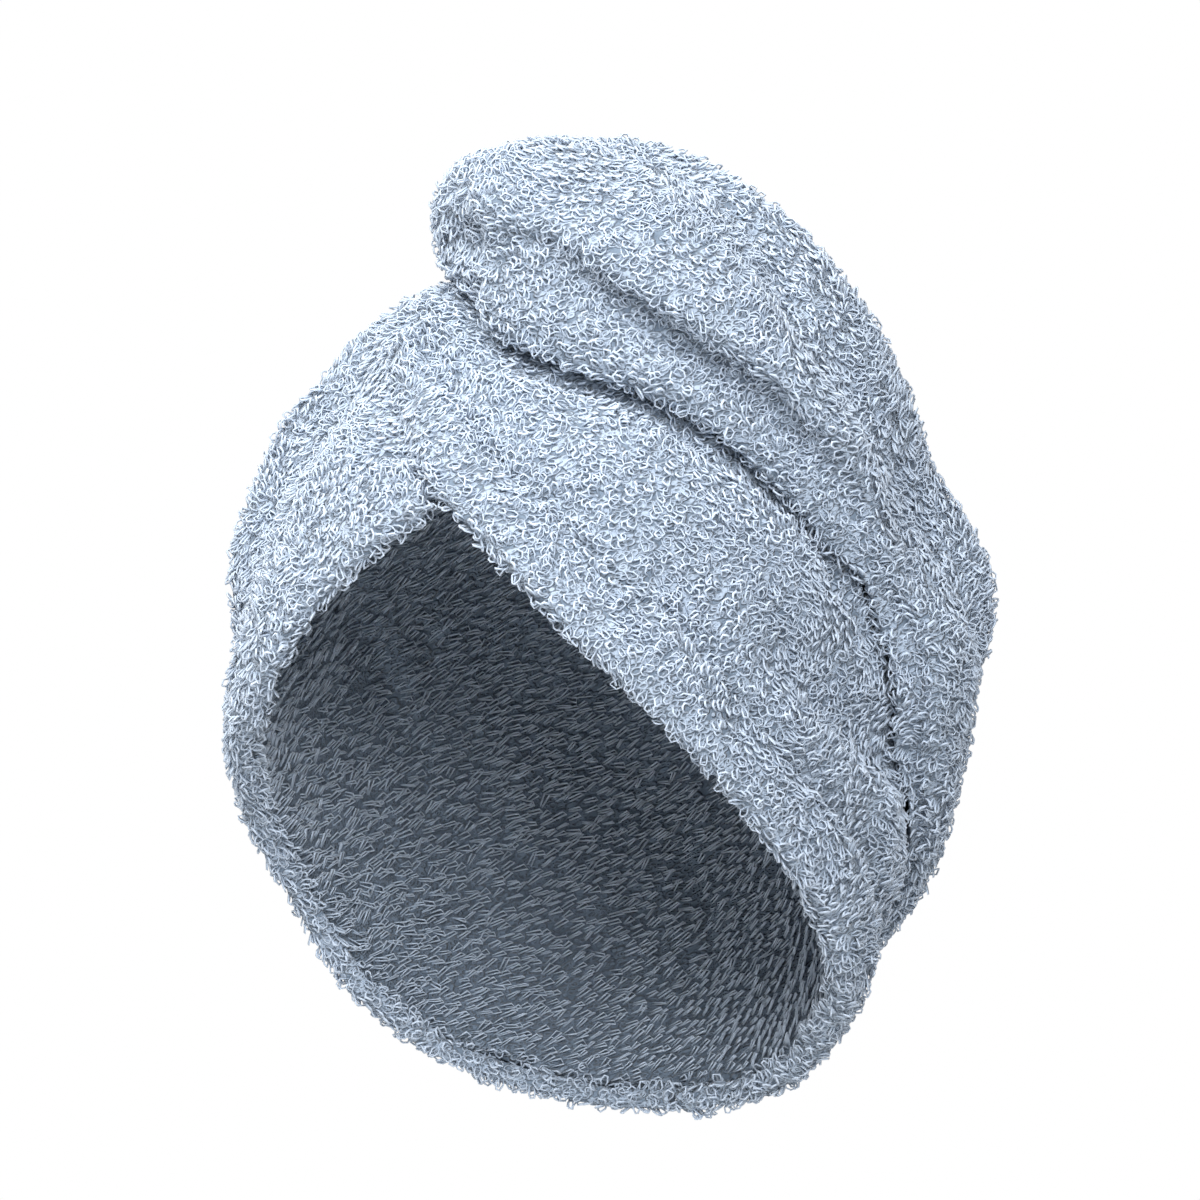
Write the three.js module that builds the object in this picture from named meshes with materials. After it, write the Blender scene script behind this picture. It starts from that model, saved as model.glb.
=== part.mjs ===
// Hair turban towel in looped terry, kept in the shape it has on a head.
// Millimetres. +Z is up, the face opening looks towards -Y, the wearer's left is +X.
// The origin is the inside of the hood at the crown, where the head touches it.
// Places on the head are given as an azimuth (0 at the forehead, 90 at the wearer's
// left ear, 180 at the nape) and an elevation, both in degrees about the head's centre.
import { BufferGeometry, Float32BufferAttribute, Group } from 'three';
import { Mesh, MeshStandardMaterial, Vector3 } from 'three';

// The hood's outside, without its folds, as distances from the head's centre.
const HALF_WIDTH = 87.5;
const HALF_DEPTH = 106;
const CROWN = 98;
const NAPE = 150;

const CLOTH = 4;          // terry with its loops
const INSIDE_RELIEF = 0.5; // how much of a ridge shows on the inside; a valley shows in full
const GAP = 0.7;          // air between two layers that lie on each other
const HEM_WIDTH = 15;
const HEM_CLOTH = 2.8;    // a hem laid over the hood's edge
const NAPE_SEAM = 0.45;   // degrees from the nape to where each hem ends
const PEAK_SEAM = 1.8;    // degrees the right hem stops short of the peak
const TAIL_HALF_WIDTH = 45;
const TAIL_HEIGHT = 49;   // of the crown lobe off the hood
const BELLY = 0.28;       // where the tail is widest, as a share of its height
const SQUARENESS = 0.75;  // below 1 the tail's section is squarer than an ellipse
const FLATNESS = 1.6;     // above 1 more of the tail's underside lies on the hood
const UPPER_SIDE = 0.35;  // how far up the tail's side its cross folds are full
const ROOT_ROUNDING = 0.07; // share of the tail's length over which its root rounds off
const TIP_ROUNDING = 0.05;
const SEAM_TURN = 10;     // degrees from the peak over which the hem turns under the edge
const SEAM_NARROWING = 0.12; // share that the seam's band narrows by at each place
const BUTTON_RADIUS = 10;
const CORD_RADIUS = 1.4;

const CENTRE = new Vector3(0, 0, CLOTH - CROWN);
const MEAN_RADIUS = 100;
const FOLD_UNIT = MEAN_RADIUS / 100;

const HOOD_COLUMNS = 74;
const FINE_AZIMUTH = 80;
const FINE_PULL = 18;
const OUTSIDE_ROWS = 24;
const INSIDE_ROWS = 13;
const TAIL_SECTIONS = 56;
const END_CROWDING = 0.4; // how far the tail's sections draw to its ends
const TAIL_POINTS = 30;

// The edge of the hood, from the peak over the forehead round the wearer's left.
const PEAK_AZIMUTH = 3.6;
const RIM = [
  { azimuth: PEAK_AZIMUTH, elevation: 12.8 },
  { azimuth: 14, elevation: 5 },
  { azimuth: 24, elevation: -4 },
  { azimuth: 38, elevation: -14 },
  { azimuth: 50, elevation: -21.5 },
  { azimuth: 65, elevation: -30 },
  { azimuth: 80, elevation: -36 },
  { azimuth: 100, elevation: -42.3 },
  { azimuth: 120, elevation: -46.5 },
  { azimuth: 150, elevation: -50.7 },
  { azimuth: 180, elevation: -52 },
  { azimuth: 210, elevation: -52.3 },
  { azimuth: 240, elevation: -51 },
  { azimuth: 257, elevation: -46.5 },
  { azimuth: 269, elevation: -39.5 },
  { azimuth: 281, elevation: -32 },
  { azimuth: 295, elevation: -26 },
  { azimuth: 312, elevation: -20 },
  { azimuth: 326, elevation: -14 },
  { azimuth: 336, elevation: -7 },
  { azimuth: 345, elevation: 0 },
  { azimuth: 354, elevation: 6 },
  { azimuth: PEAK_AZIMUTH + 360, elevation: 12.8 },
];

// The front seam, from the peak up to the root of the tail.
const SEAM = [
  { azimuth: PEAK_AZIMUTH, elevation: 12.8 },
  { azimuth: 0, elevation: 18 },
  { azimuth: -5, elevation: 24.5 },
  { azimuth: -11, elevation: 31 },
  { azimuth: -15, elevation: 35.5 },
  { azimuth: -18.5, elevation: 39.5 },
];

// Folds of the hood. Each is a line over its places; width and height in hundredths of
// MEAN_RADIUS, with a negative height for a valley.
const FOLDS = [
  { name: 'rise to the root of the tail', width: 17, height: 12,
    places: [[-60, 44], [-34, 50], [-12, 48], [12, 40]] },
  { name: 'ridge over the left hem', width: 8, height: 8,
    places: [[30, 6], [50, -6], [70, -14], [94, -20], [120, -29], [150, -36]] },
  { name: 'pocket over that ridge', width: 8, height: -8,
    places: [[54, -2], [68, -7], [82, -11], [98, -12], [120, -12]] },
  { name: 'valley between that ridge and the hem', width: 6, height: -4,
    places: [[40, -8], [56, -16], [70, -20.5], [84, -25], [100, -29], [122, -34]] },
  { name: 'knot at the root of the tail', width: 13, height: 5,
    places: [[-46, 66], [-24, 58], [-6, 48], [14, 36]] },
  { name: 'swell of the left panel', width: 20, height: 7,
    places: [[10, 30], [30, 22], [58, 12], [84, -2]] },
  { name: 'ridge of the right panel', width: 13, height: 11,
    places: [[-34, 62], [-47, 46], [-57, 26], [-61, 8], [-66, -8]] },
  { name: 'valley of the right panel', width: 6, height: -5,
    places: [[-20, 48], [-36, 30], [-42, 8], [-44, -4]] },
  { name: 'wrap over the right ear', width: 10, height: 5,
    places: [[-44, 70], [-72, 46], [-100, 8], [-130, -24], [-170, -40]] },
  { name: 'upper wrap at the back', width: 11, height: 6,
    places: [[-60, 84], [-100, 60], [-136, 26], [-160, -4], [-186, -24]] },
  { name: 'valley between the wraps', width: 8, height: -3,
    places: [[-50, 76], [-86, 52], [-118, 16], [-146, -14], [-180, -36]] },
  { name: 'wrap behind the crown', width: 10, height: 5,
    places: [[-120, 88], [-160, 62], [-184, 34], [-200, 4]] },
];

// The wound tail, from its root over the forehead across the crown to the nape, with
// its half width and height as shares of TAIL_HALF_WIDTH and TAIL_HEIGHT.
const TAIL = [
  { azimuth: -18, elevation: 55, halfWidth: 0.58, height: 0.57 },
  { azimuth: -4, elevation: 60, halfWidth: 0.8, height: 0.84 },
  { azimuth: 20, elevation: 60, halfWidth: 0.96, height: 1 },
  { azimuth: 48, elevation: 53, halfWidth: 1, height: 0.9 },
  { azimuth: 74, elevation: 41, halfWidth: 0.96, height: 0.63 },
  { azimuth: 93, elevation: 27, halfWidth: 0.84, height: 0.37 },
  { azimuth: 104, elevation: 14, halfWidth: 0.8, height: 0.47 },
  { azimuth: 114, elevation: 3, halfWidth: 0.73, height: 0.29 },
  { azimuth: 129, elevation: -8, halfWidth: 0.6, height: 0.24 },
  { azimuth: 150, elevation: -19, halfWidth: 0.44, height: 0.24 },
  { azimuth: 172, elevation: -25, halfWidth: 0.29, height: 0.22 },
];

// Furrows along the turns of the tail. The angle runs round its section: 0 at the edge
// over the left ear, 90 on top. Depth is a share of the section's size.
const FURROWS = [
  { name: 'between the lower roll and the crown lobe', start: 20, end: 5, depth: 0.19, width: 14 },
  { name: 'on the far side', start: 130, end: 150, depth: 0.14, width: 17 },
];

// Furrows across its turns, with the columns of the hood's folds.
const TAIL_FOLDS = [
  { name: 'between the two lobes', width: 9, height: -8,
    places: [[20, 66], [40, 56], [50, 48], [57, 40], [66, 34], [77, 27.5], [87, 21],
      [98, 13], [108, 4]] },
];

const HOOD_FADE = 0.4;    // share of a fold's line over which it fades at each end
const TAIL_FADE = 0.1;
const FLAT_EDGE = 9;      // degrees from the hood's edge that no fold reaches
const FULL_FOLDS = 17;    // and from where the folds have their full height

const radians = (degrees) => degrees * Math.PI / 180;

const smooth = (low, high, value) => {
  const share = Math.min(1, Math.max(0, (value - low) / (high - low)));
  return share * share * (3 - 2 * share);
};

// A smooth curve through one column of a table, read at any value of its key.
function curve(table, key, column) {
  const slopeAt = (index) => {
    const before = table[Math.max(0, index - 1)];
    const after = table[Math.min(table.length - 1, index + 1)];
    return (after[column] - before[column]) / (after[key] - before[key]);
  };
  return (value) => {
    let index = 0;
    while (index < table.length - 2 && table[index + 1][key] < value) index += 1;
    const from = table[index];
    const to = table[index + 1];
    const span = to[key] - from[key];
    const t = Math.min(1, Math.max(0, (value - from[key]) / span));
    const rise = to[column] - from[column];
    const first = slopeAt(index) * span;
    const last = slopeAt(index + 1) * span;
    return from[column] + first * t + (3 * rise - 2 * first - last) * t * t
      + (first + last - 2 * rise) * t * t * t;
  };
}

function direction(azimuth, elevation) {
  const level = Math.cos(radians(elevation));
  return new Vector3(
    Math.sin(radians(azimuth)) * level,
    -Math.cos(radians(azimuth)) * level,
    Math.sin(radians(elevation)),
  );
}

const rimElevation = curve(RIM, 'azimuth', 'elevation');

// Degrees between a place and the nearest part of the hood's edge.
function rimDistance(way) {
  let azimuth = Math.atan2(way.x, -way.y) * 180 / Math.PI;
  if (azimuth < PEAK_AZIMUTH) azimuth += 360;
  const elevation = Math.asin(way.z) * 180 / Math.PI;
  const edge = rimElevation(azimuth);
  const slope = (rimElevation(azimuth + 2) - rimElevation(azimuth - 2)) / 4;
  return (elevation - edge) / Math.hypot(1, slope / Math.cos(radians(edge)));
}

const linesOf = (folds, fade) => folds.map((fold) => ({
  ...fold,
  fade,
  points: fold.places.map(([azimuth, elevation]) => direction(azimuth, elevation)),
}));
const foldLines = linesOf(FOLDS, HOOD_FADE);
const tailLines = linesOf(TAIL_FOLDS, TAIL_FADE);

// How high a fold stands at a place: full along its line, fading at both its ends.
function foldHeight(way, { points, width, height, fade }) {
  let nearest = Infinity;
  let along = 0;
  for (let index = 1; index < points.length; index += 1) {
    const run = points[index].clone().sub(points[index - 1]);
    const offset = way.clone().sub(points[index - 1]);
    const share = Math.min(1, Math.max(0, offset.dot(run) / run.lengthSq()));
    const distance = offset.addScaledVector(run, -share).length();
    if (distance < nearest) {
      nearest = distance;
      along = (index - 1 + share) / (points.length - 1);
    }
  }
  const spread = nearest * MEAN_RADIUS / (width * FOLD_UNIT);
  return height * FOLD_UNIT * Math.exp(-spread * spread) * smooth(0, fade, Math.min(along, 1 - along));
}

const heightOf = (lines, way) => lines.reduce((sum, line) => sum + foldHeight(way, line), 0);

const relief = (way) => smooth(FLAT_EDGE, FULL_FOLDS, rimDistance(way)) * heightOf(foldLines, way);

// Distance from the head's centre to the hood's outside.
function hoodRadius(way) {
  const upright = way.z > 0 ? CROWN : NAPE;
  const form = 1 / Math.hypot(way.x / HALF_WIDTH, way.y / HALF_DEPTH, way.z / upright);
  return form + relief(way);
}

function onHood(way, height) {
  return CENTRE.clone().addScaledVector(way, hoodRadius(way) + height);
}

// A closed body from rings of points, closed by one point at each end.
function body(name, slot, first, rings, last) {
  const points = [first, ...rings.flat(), last];
  const size = rings[0].length;
  const corner = (ring, index) => 1 + ring * size + (index % size);
  const faces = [];
  for (let index = 0; index < size; index += 1) {
    faces.push(0, corner(0, index + 1), corner(0, index));
    for (let ring = 1; ring < rings.length; ring += 1) {
      faces.push(corner(ring - 1, index), corner(ring - 1, index + 1), corner(ring, index + 1));
      faces.push(corner(ring - 1, index), corner(ring, index + 1), corner(ring, index));
    }
    const end = rings.length - 1;
    faces.push(points.length - 1, corner(end, index), corner(end, index + 1));
  }
  const geometry = new BufferGeometry();
  geometry.setAttribute('position', new Float32BufferAttribute(
    points.flatMap((point) => point.toArray()), 3));
  geometry.setIndex(faces);
  geometry.computeVertexNormals();
  const mesh = new Mesh(geometry, MATERIALS[slot]);
  mesh.name = name;
  return mesh;
}

const middleOf = (ring) => ring
  .reduce((sum, point) => sum.add(point), new Vector3())
  .divideScalar(ring.length);

const MATERIALS = {
  terry: new MeshStandardMaterial({ name: 'terry', color: 0xbccad8, roughness: 1 }),
  terry_hem: new MeshStandardMaterial({ name: 'terry_hem', color: 0xb4c2d0, roughness: 1 }),
  button_plastic: new MeshStandardMaterial({ name: 'button_plastic', color: 0xc9d3de, roughness: 0.5 }),
  elastic: new MeshStandardMaterial({ name: 'elastic', color: 0xd8dfe6, roughness: 0.9 }),
};

// The hood's columns stand closer together on the left, where its folds are finer.
const columnAzimuths = Array.from({ length: HOOD_COLUMNS }, (_, index) => {
  const azimuth = 360 * index / HOOD_COLUMNS;
  const pull = Math.sin(radians(azimuth - FINE_AZIMUTH)) + Math.sin(radians(FINE_AZIMUTH));
  return PEAK_AZIMUTH + azimuth - FINE_PULL * pull;
});

// The hollow hood: down its inside from the crown, round the edge, up its outside.
function hood() {
  const row = (share, place) => columnAzimuths.map((azimuth) => {
    const edge = rimElevation(azimuth);
    return place(direction(azimuth, edge + (90 - edge) * share));
  });
  const outside = (way) => onHood(way, 0);
  const filled = (way) => Math.max(relief(way), 0) * (1 - INSIDE_RELIEF);
  const inside = (way) => onHood(way, -CLOTH - filled(way));
  const rings = [];
  for (let index = INSIDE_ROWS - 1; index >= 0; index -= 1) {
    rings.push(row(index / INSIDE_ROWS, inside));
  }
  for (let index = 0; index < OUTSIDE_ROWS; index += 1) {
    rings.push(row(index / OUTSIDE_ROWS, outside));
  }
  const crown = direction(0, 90);
  return body('hood', 'terry', inside(crown), rings, outside(crown));
}

// The section of a hem, as distances past the hood's edge and off its outside.
// On the rim it turns in under the edge; on the front seam it lies flat.
const TURN = HEM_CLOTH;
const TOP = GAP + HEM_CLOTH;
const HEM_SECTION = [
  { past: -HEM_WIDTH, off: GAP, flatPast: -HEM_WIDTH, flatOff: GAP },
  { past: -HEM_WIDTH * 0.6, off: GAP, flatPast: -HEM_WIDTH * 0.67, flatOff: GAP },
  { past: -HEM_WIDTH * 0.27, off: GAP, flatPast: -HEM_WIDTH * 0.33, flatOff: GAP },
  { past: GAP, off: GAP, flatPast: GAP, flatOff: GAP },
  { past: GAP, off: -CLOTH, flatPast: TURN * 0.4, flatOff: TURN * 0.3 },
  { past: TURN * 0.75, off: -CLOTH - TURN * 0.2, flatPast: TURN * 0.55, flatOff: TURN * 0.5 },
  { past: TURN * 1.25, off: -CLOTH + TURN * 0.3, flatPast: TURN * 0.6, flatOff: TURN * 0.75 },
  { past: TURN * 1.3, off: 0, flatPast: TURN * 0.4, flatOff: GAP + HEM_CLOTH * 0.8 },
  { past: TURN * 0.75, off: GAP + HEM_CLOTH * 0.65, flatPast: -TURN * 0.35, flatOff: TOP },
  { past: -HEM_WIDTH * 0.2, off: TOP, flatPast: -HEM_WIDTH * 0.27, flatOff: TOP * 1.1 },
  { past: -HEM_WIDTH * 0.6, off: TOP * 0.9, flatPast: -HEM_WIDTH * 0.6, flatOff: TOP * 1.1 },
  { past: -HEM_WIDTH * 0.87, off: TOP * 1.2, flatPast: -HEM_WIDTH * 0.87, flatOff: TOP * 1.2 },
  { past: -HEM_WIDTH * 1.05, off: GAP * 3, flatPast: -HEM_WIDTH * 1.05, flatOff: GAP * 3 },
];

function hem(name, stations) {
  const edgePoints = stations.map(({ way }) => onHood(way, 0));
  const rings = stations.map(({ way, flat, width = 1 }, index) => {
    const along = edgePoints[Math.min(index + 3, stations.length - 1)].clone()
      .sub(edgePoints[Math.max(index - 3, 0)])
      .normalize();
    const across = along.clone().cross(way).normalize();
    const edge = edgePoints[index].clone().sub(CENTRE);
    return HEM_SECTION.toReversed().map(({ past, off, flatPast, flatOff }) => {
      const reach = (past + (flatPast - past) * flat) * width;
      const height = off + (flatOff - off) * flat;
      return onHood(edge.clone().addScaledVector(across, reach).normalize(), height);
    });
  });
  return body(name, 'terry_hem', middleOf(rings[0]), rings, middleOf(rings.at(-1)));
}

function hems() {
  const onRim = (azimuth) => ({
    way: direction(azimuth, rimElevation(azimuth)),
    flat: 1 - smooth(PEAK_AZIMUTH, PEAK_AZIMUTH + SEAM_TURN, azimuth),
  });
  const seam = SEAM.slice(1).map(({ azimuth, elevation }, index) => ({
    way: direction(azimuth, elevation), flat: 1, width: 1 - SEAM_NARROWING * index,
  }));
  const left = [...columnAzimuths.filter((azimuth) => azimuth < 179), 180 - NAPE_SEAM];
  const right = [180 + NAPE_SEAM, ...columnAzimuths.filter((azimuth) => azimuth > 181)];
  right.push(PEAK_AZIMUTH + 360 - PEAK_SEAM);
  return [
    hem('left_hem', [...seam.reverse(), ...left.map(onRim)]),
    hem('right_hem', right.map(onRim)),
  ];
}

// The wound tail: sections that stand on the hood, wider above than where they rest.
function tail() {
  const stations = TAIL.map((row, index) => {
    const way = direction(row.azimuth, row.elevation);
    return { ...row, place: index / (TAIL.length - 1), x: way.x, y: way.y, z: way.z };
  });
  const read = (column) => curve(stations, 'place', column);
  const [x, y, z] = ['x', 'y', 'z'].map(read);
  const halfWidth = read('halfWidth');
  const height = read('height');
  const wayAt = (place) => new Vector3(x(place), y(place), z(place)).normalize();
  const furrowDepth = (angle, place) => FURROWS.reduce((sum, furrow) => {
    const share = (angle - furrow.start - (furrow.end - furrow.start) * place) / furrow.width;
    return sum + furrow.depth * Math.exp(-share * share);
  }, 0);
  const section = (place, fullness) => {
    const way = wayAt(place);
    const along = wayAt(Math.min(1, place + 0.01)).sub(wayAt(Math.max(0, place - 0.01)));
    const across = along.cross(way).normalize();
    const tall = height(place) * TAIL_HEIGHT;
    const wide = halfWidth(place) * TAIL_HALF_WIDTH * fullness;
    const belly = BELLY * tall;
    return Array.from({ length: TAIL_POINTS }, (_, index) => {
      const angle = 360 * index / TAIL_POINTS;
      const size = 1 - furrowDepth(angle, place);
      const level = Math.cos(radians(angle));
      const side = Math.sign(level) * Math.abs(level) ** SQUARENESS * wide * size;
      const rise = Math.sin(radians(angle)) * size * fullness;
      const off = belly + rise * (rise > 0 ? tall - belly : belly * FLATNESS);
      const turn = side / MEAN_RADIUS;
      const spot = way.clone().multiplyScalar(Math.cos(turn))
        .addScaledVector(across, Math.sin(turn));
      const fold = smooth(0, UPPER_SIDE, rise) * heightOf(tailLines, spot);
      return onHood(spot, GAP + Math.max(0, off + fold));
    });
  };
  const rings = [];
  for (let index = 0; index < TAIL_SECTIONS; index += 1) {
    const even = (index + 0.5) / TAIL_SECTIONS;
    const crowded = (1 - Math.cos(Math.PI * even)) / 2;
    const place = even + (crowded - even) * END_CROWDING;
    const toEnd = Math.min(1, place / ROOT_ROUNDING, (1 - place) / TIP_ROUNDING);
    rings.push(section(place, Math.sqrt(1 - (1 - toEnd) ** 2)));
  }
  const end = (place) => onHood(wayAt(place), GAP + BELLY * height(place) * TAIL_HEIGHT);
  return body('tail', 'terry', end(1), rings.reverse(), end(0));
}

// A place on the hood with its outward direction, the way down and the way sideways.
function seat(azimuth, elevation) {
  const step = 3;
  const spot = onHood(direction(azimuth, elevation), 0);
  const down = onHood(direction(azimuth, elevation - step), 0).sub(spot).normalize();
  const side = onHood(direction(azimuth + step, elevation), 0).sub(spot).normalize();
  const out = side.clone().cross(down).negate().normalize();
  return (across, along, off) => spot.clone()
    .addScaledVector(side, across)
    .addScaledVector(down, along)
    .addScaledVector(out, off);
}

const BUTTON_PLACE = [176, -38];
const STEM_RADIUS = 3;
const STEM_HEIGHT = 5;
const BUTTON_PROFILE = [
  { radius: STEM_RADIUS, off: GAP },
  { radius: STEM_RADIUS, off: STEM_HEIGHT },
  { radius: BUTTON_RADIUS - 1, off: STEM_HEIGHT },
  { radius: BUTTON_RADIUS, off: STEM_HEIGHT + 1 },
  { radius: BUTTON_RADIUS, off: STEM_HEIGHT + 2 },
  { radius: BUTTON_RADIUS - 1, off: STEM_HEIGHT + 3 },
  { radius: BUTTON_RADIUS - 4, off: STEM_HEIGHT + 3.4 },
];
const BUTTON_POINTS = 24;

function napeButton() {
  const at = seat(...BUTTON_PLACE);
  const rings = BUTTON_PROFILE.map(({ radius, off }) => Array.from(
    { length: BUTTON_POINTS },
    (_, index) => {
      const turn = 2 * Math.PI * index / BUTTON_POINTS;
      return at(Math.cos(turn) * radius, -Math.sin(turn) * radius, off);
    },
  ));
  const top = BUTTON_PROFILE.at(-1).off;
  return body('nape_button', 'button_plastic', at(0, 0, GAP), rings, at(0, 0, top));
}

const LOOP_REACH = 15;
const LOOP_TURN = 0.78;   // share of a full turn that the cord makes, with its legs
const LEG_START = 0.5;    // and from where it straightens into them
const LEG_SPACING = 1.9;
const LEG_RISE = 2;
const CORD_POINTS = 8;
const CORD_STATIONS = 22;

// The elastic cord: from the tip of the tail, round the button's stem and back.
function napeLoop() {
  const at = seat(...BUTTON_PLACE);
  const bend = STEM_RADIUS + CORD_RADIUS + 0.5;
  const lie = GAP + CORD_RADIUS + 0.3;
  const path = Array.from({ length: CORD_STATIONS + 1 }, (_, index) => {
    const turn = Math.PI * (index / CORD_STATIONS * 2 - 1) * LOOP_TURN;
    const legShare = smooth(LEG_START, LOOP_TURN, Math.abs(turn) / Math.PI);
    const spread = Math.sign(turn) * LEG_SPACING;
    const across = Math.sin(turn) * bend * (1 - legShare) + spread * legShare;
    const along = Math.cos(turn) * bend * (1 - legShare) - LOOP_REACH * legShare;
    return at(across, along, lie + legShare * LEG_RISE);
  });
  const out = at(0, 0, 1).sub(at(0, 0, 0));
  const rings = path.map((point, index) => {
    const along = path[Math.min(index + 1, CORD_STATIONS)].clone()
      .sub(path[Math.max(index - 1, 0)])
      .normalize();
    const side = out.clone().cross(along).normalize();
    const rise = along.clone().cross(side);
    return Array.from({ length: CORD_POINTS }, (_, corner) => {
      const angle = 2 * Math.PI * corner / CORD_POINTS;
      return point.clone()
        .addScaledVector(side, Math.cos(angle) * CORD_RADIUS)
        .addScaledVector(rise, Math.sin(angle) * CORD_RADIUS);
    });
  });
  return body('nape_loop', 'elastic', path[0], rings, path.at(-1));
}

export default new Group().add(hood(), ...hems(), tail(), napeButton(), napeLoop());
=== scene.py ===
"""A hair turban towel in looped terry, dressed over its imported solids.

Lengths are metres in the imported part's own frame: +Z is up, the face opening looks
towards -Y and the wearer's left is +X. A place on the head is an azimuth (0 at the
forehead, 90 at the left ear, 180 at the nape) and an elevation, about the head's centre.
"""

import math

import bmesh
import bpy
import numpy as np
from bpy.props import FloatProperty, FloatVectorProperty, PointerProperty
from mathutils import Matrix, Vector
from mathutils.bvhtree import BVHTree


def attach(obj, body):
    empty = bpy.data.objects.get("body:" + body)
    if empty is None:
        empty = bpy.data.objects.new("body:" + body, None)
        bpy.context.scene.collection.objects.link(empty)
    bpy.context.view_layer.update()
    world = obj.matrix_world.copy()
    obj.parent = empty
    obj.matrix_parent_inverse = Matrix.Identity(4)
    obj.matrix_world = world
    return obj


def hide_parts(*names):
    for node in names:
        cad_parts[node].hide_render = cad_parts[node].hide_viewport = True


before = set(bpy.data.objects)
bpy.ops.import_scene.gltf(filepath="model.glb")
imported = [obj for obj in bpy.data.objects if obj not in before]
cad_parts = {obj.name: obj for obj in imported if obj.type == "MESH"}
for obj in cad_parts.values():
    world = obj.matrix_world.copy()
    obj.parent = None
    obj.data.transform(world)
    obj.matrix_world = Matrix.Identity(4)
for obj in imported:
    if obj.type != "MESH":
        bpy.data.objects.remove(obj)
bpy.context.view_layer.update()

bl_info = {
    "name": "Hair turban towel",
    "version": (1, 0, 0),
    "blender": (4, 5, 0),
    "location": "3D View > Sidebar > Hair turban",
    "description": "Dresses a hair turban towel in looped terry and sets it in a pale studio",
    "category": "Object",
}

BODY = "root"
MILLIMETRE = 0.001
MERGE_DISTANCE = 1e-5

# The head that the towel is worn on, and places over it in degrees
HEAD_CENTRE = np.array([0.0, 0.0, -0.094])
MEAN_RADIUS = 0.1
TAIL_ROOT = (-14.0, 48.0)
FRONT_PEAK = (3.0, 13.6)

# Soft folds round the tail's root: how many to a full turn, their sway and their height,
# then the reach from the root, in radians, where they start and where they are full
FAN_WAVES = ((24.0, 2.2, 0.65), (41.0, -3.0, 0.35))
FAN_STARTS = 0.15
FAN_FULL = 0.5
DIMPLE_HEIGHT = 0.45 * MILLIMETRE
DIMPLE_LENGTH = 0.022

# The thread at the peak of the opening
STITCH_THREADS = 3
STITCH_LENGTH = 0.0032
STITCH_RADIUS = 0.00022
STITCH_SPACING = 0.00042
STITCH_HEIGHT = 0.0011

# Where the loops stand and how they lie
COVERED_WITHIN = 0.0022
CLEAR_OF_FACE = 0.4 * MILLIMETRE
TRIES_PER_CELL = 9
EVEN_WITHIN = 0.5
LOOPS_PER_PIECE = 6100
BRUSHED = (0.85, 0.35, 0.5)
BRUSHED_PLAY = 0.2
PATCH_LENGTH = 0.035
PATCH_PLAY = 0.75
FLATTEST = 0.15
STEEPEST_OUTSIDE = 0.75
STEEPEST_INSIDE = 0.5

# How much the loops differ from each other, as shares of their sizes
LENGTH_PLAY = (0.8, 1.25)
WIDTH_PLAY = (0.75, 1.2)
YARN_PLAY = (0.85, 1.15)
TONE_PLAY = (0.72, 1.0)
SKEW_PLAY = 0.12

# Lower loops drawn on the ground cloth: cells to a metre and a start for each layer of rings,
# then the rings' stretch, their radius, and how far off it they end and are full, in cells
RING_LAYERS = ((520.0, 0.3), (640.0, 0.7))
RING_STRETCH = 0.55
RING_RADIUS = 0.42
RING_EDGE = 0.24
RING_TOP = 0.03

# The picture: its side, the head's centre in it and its scale there, in pixels
PICTURE_PIXELS = 1200
HEAD_PIXEL = (586, 677)
PIXELS_PER_METRE = 3700
SENSOR_WIDTH = 36.0

# The studio: each lamp's way right, up and towards the camera from the head, and its size
FLOOR_SIZE = 12.0
FLOOR_HEIGHT = -0.75
LAMPS = (
    {"name": "key", "place": (-0.75, 1.5, 0.8), "size": 1.2, "colour": (1.0, 0.99, 0.97)},
    {"name": "fill", "place": (0.2, 0.75, 1.5), "size": 0.8, "colour": (0.97, 0.98, 1.0)},
    {"name": "rear", "place": (-0.7, 0.9, -1.6), "size": 1.4, "colour": (0.97, 0.98, 1.0)},
)

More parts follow.
